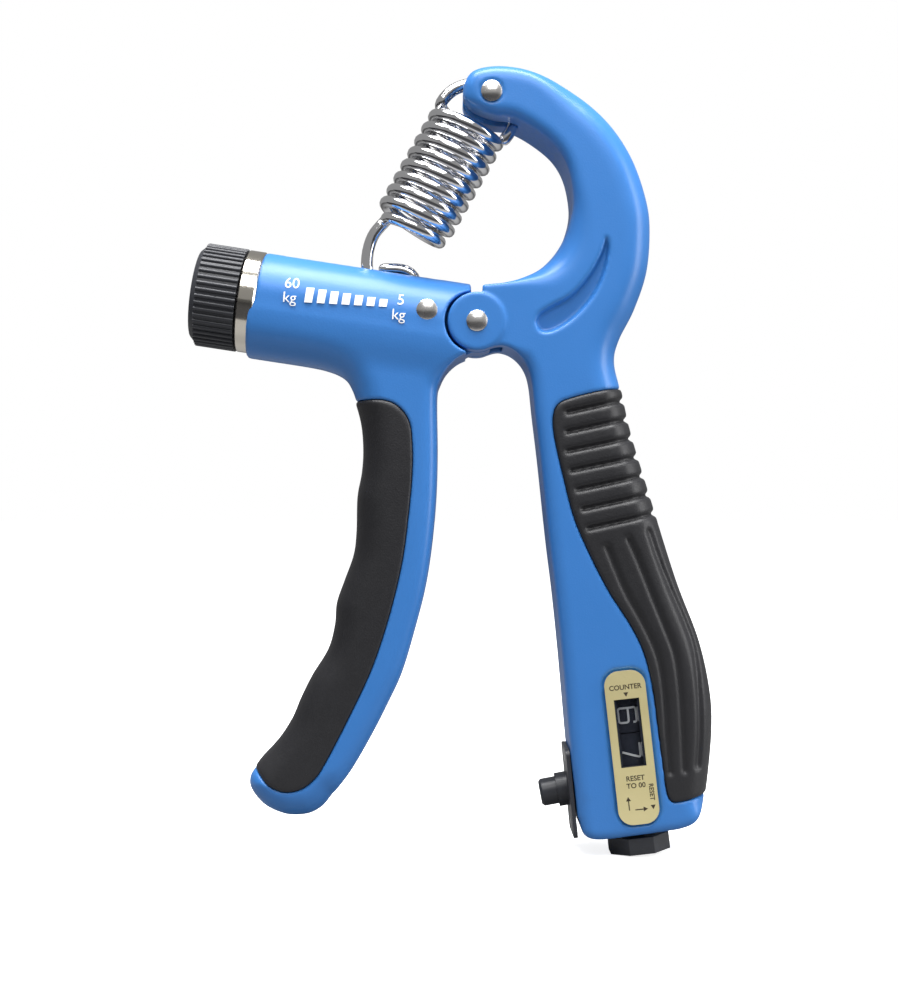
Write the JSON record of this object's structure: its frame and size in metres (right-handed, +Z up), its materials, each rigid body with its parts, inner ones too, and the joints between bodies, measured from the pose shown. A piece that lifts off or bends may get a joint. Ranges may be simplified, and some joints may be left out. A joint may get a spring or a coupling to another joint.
{
  "type": "hand grip strengthener",
  "caption": "Adjustable spring hand gripper: two hinged handles with soft grips, a tension spring with a screw force adjuster, and a squeeze counter.",
  "frame": {"origin": "centre of the tool's footprint, standing upright on its lower end", "axes": "+Z up along the tool's height, +X towards the palm handle, -Y out of the broad front face with the counter window"},
  "size_m": [0.1084, 0.0218, 0.1633],
  "materials": {
    "blue_plastic": "satin",
    "grip_rubber": "matte",
    "bright_metal": "polished",
    "collar_metal": "polished",
    "spring_steel": "polished",
    "screw_steel": "satin",
    "bush_brass": "satin",
    "label_brass": "brushed",
    "window_clear": "polished",
    "black_plastic": "satin",
    "wheel_plastic": "satin"
  },
  "bodies": {
    "rear_arm": {"rear_arm_body": "blue_plastic", "rear_grip": "grip_rubber", "pivot_pin": "bright_metal", "spring_anchor_pin": "bright_metal", "counter_case": "black_plastic", "counter_label": "label_brass", "counter_lens": "window_clear", "counter_plate": "black_plastic", "plate_screws": "bright_metal", "plunger_guide": "black_plastic", "plunger_return_spring": "spring_steel"},
    "front_arm": {"front_arm_body": "blue_plastic", "front_grip": "grip_rubber", "barrel_collar": "collar_metal", "nose_bush": "black_plastic", "screw_retaining_pin": "bright_metal", "pivot_bush": "bush_brass", "pivot_washers": "screw_steel"},
    "adjuster": {"adjusting_knob": "black_plastic", "lead_screw": "screw_steel", "knob_screw": "bright_metal"},
    "traveller": {"traveller_nut": "bush_brass", "hook_pin": "bright_metal"},
    "spring": {"tension_spring": "spring_steel"},
    "plunger": {"plunger": "black_plastic", "drive_pawl": "black_plastic"},
    "ratchet": {"ratchet_wheel": "wheel_plastic"},
    "units": {"units_wheel": "wheel_plastic"},
    "tens": {"tens_wheel": "wheel_plastic"},
    "reset": {"reset_knob": "black_plastic", "counter_axle": "bright_metal"}
  },
  "joints": [
    {"name": "squeeze", "type": "hinge", "parent": "rear_arm", "child": "front_arm", "pos_m": [0.0057, 0, 0.11015], "axis": [0, -1, 0], "range_deg": [0, 23.4], "stiffness_Nm_per_rad": 4, "springref_deg": -5.73, "deforming": ["tension_spring"]},
    {"name": "knob_turn", "type": "hinge", "parent": "front_arm", "child": "adjuster", "pos_m": [-0.0396, 0, 0.11485], "axis": [-0.9885, 0, 0.1513], "range_deg": [-5765, 0]},
    {"name": "traveller_slide", "type": "slide", "parent": "front_arm", "child": "traveller", "axis": [-0.9885, 0, 0.1513], "range_m": [0, 0.016]},
    {"name": "spring_swing", "type": "hinge", "parent": "rear_arm", "child": "spring", "pos_m": [0.0087, 0, 0.15715], "axis": [0, -1, 0], "range_deg": [0, 3]},
    {"name": "plunger_press", "type": "slide", "parent": "rear_arm", "child": "plunger", "axis": [0.9833, 0, 0.1822], "range_m": [0, 0.0036], "stiffness_N_per_m": 150, "deforming": ["plunger_return_spring"]},
    {"name": "ratchet_turn", "type": "hinge", "parent": "rear_arm", "child": "ratchet", "pos_m": [0.0373, -0.0014, 0.02305], "axis": [-0.1115, 0, 0.9938], "range_deg": [0, 36.5]},
    {"name": "reset_turn", "type": "hinge", "parent": "rear_arm", "child": "reset", "pos_m": [0.0373, -0.0014, 0.02305], "axis": [-0.1115, 0, 0.9938], "range_deg": [0, 360]},
    {"name": "units_turn", "type": "hinge", "parent": "ratchet", "child": "units", "pos_m": [0.0373, -0.0014, 0.02305], "axis": [-0.1115, 0, 0.9938], "range_deg": [0, 109]},
    {"name": "tens_turn", "type": "hinge", "parent": "rear_arm", "child": "tens", "pos_m": [0.0373, -0.0014, 0.02305], "axis": [-0.1115, 0, 0.9938], "range_deg": [0, 145]}
  ],
  "couplings": [
    {"joint": "knob_turn", "follows": "traveller_slide", "rad_per_m": -6283.2},
    {"joint": "spring_swing", "follows": "squeeze", "ratio": 0.12},
    {"joint": "ratchet_turn", "follows": "plunger_press", "rad_per_m": 174.53},
    {"joint": "units_turn", "follows": "reset_turn", "ratio": 0.3},
    {"joint": "tens_turn", "follows": "reset_turn", "ratio": 0.4}
  ]
}
